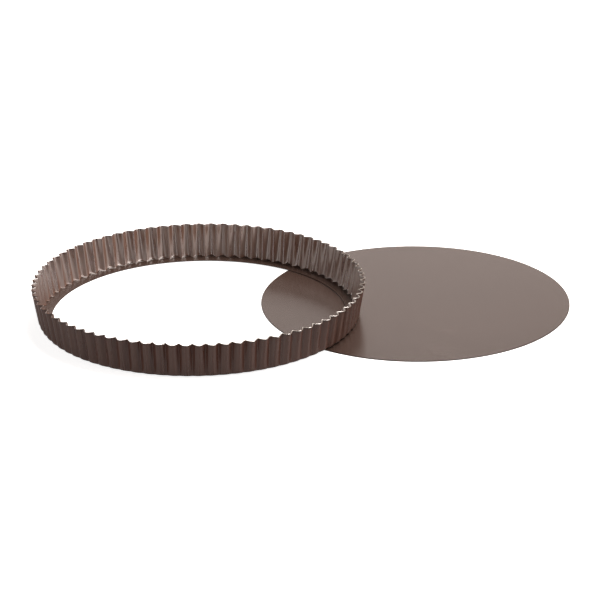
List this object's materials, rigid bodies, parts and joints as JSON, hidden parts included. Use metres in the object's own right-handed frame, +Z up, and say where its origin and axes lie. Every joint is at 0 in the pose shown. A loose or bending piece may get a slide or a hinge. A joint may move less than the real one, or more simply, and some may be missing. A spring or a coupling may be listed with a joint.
{
  "type": "tart pan",
  "caption": "Loose-bottomed tart pan: a fluted ring with an inward ledge at its foot, lying with one side on its flat round base.",
  "frame": {"origin": "centre of the base's underside, where it lies on the table", "axes": "+Z up, +X from the ring towards the base, close to the line through their centres"},
  "size_m": [0.4533, 0.2962, 0.0311],
  "materials": {
    "base_coating": "satin non-stick coating on flat steel sheet",
    "ring_coating": "satin non-stick coating on pressed steel sheet, raw at the cut edge"
  },
  "bodies": {
    "base": {"base_disc": "base_coating"},
    "ring": {"fluted_ring": "ring_coating"}
  },
  "joints": [
    {"name": "ring_lift", "type": "slide", "parent": "base", "child": "ring", "axis": [0, 0, 1], "range_m": [0, 0.1]}
  ]
}
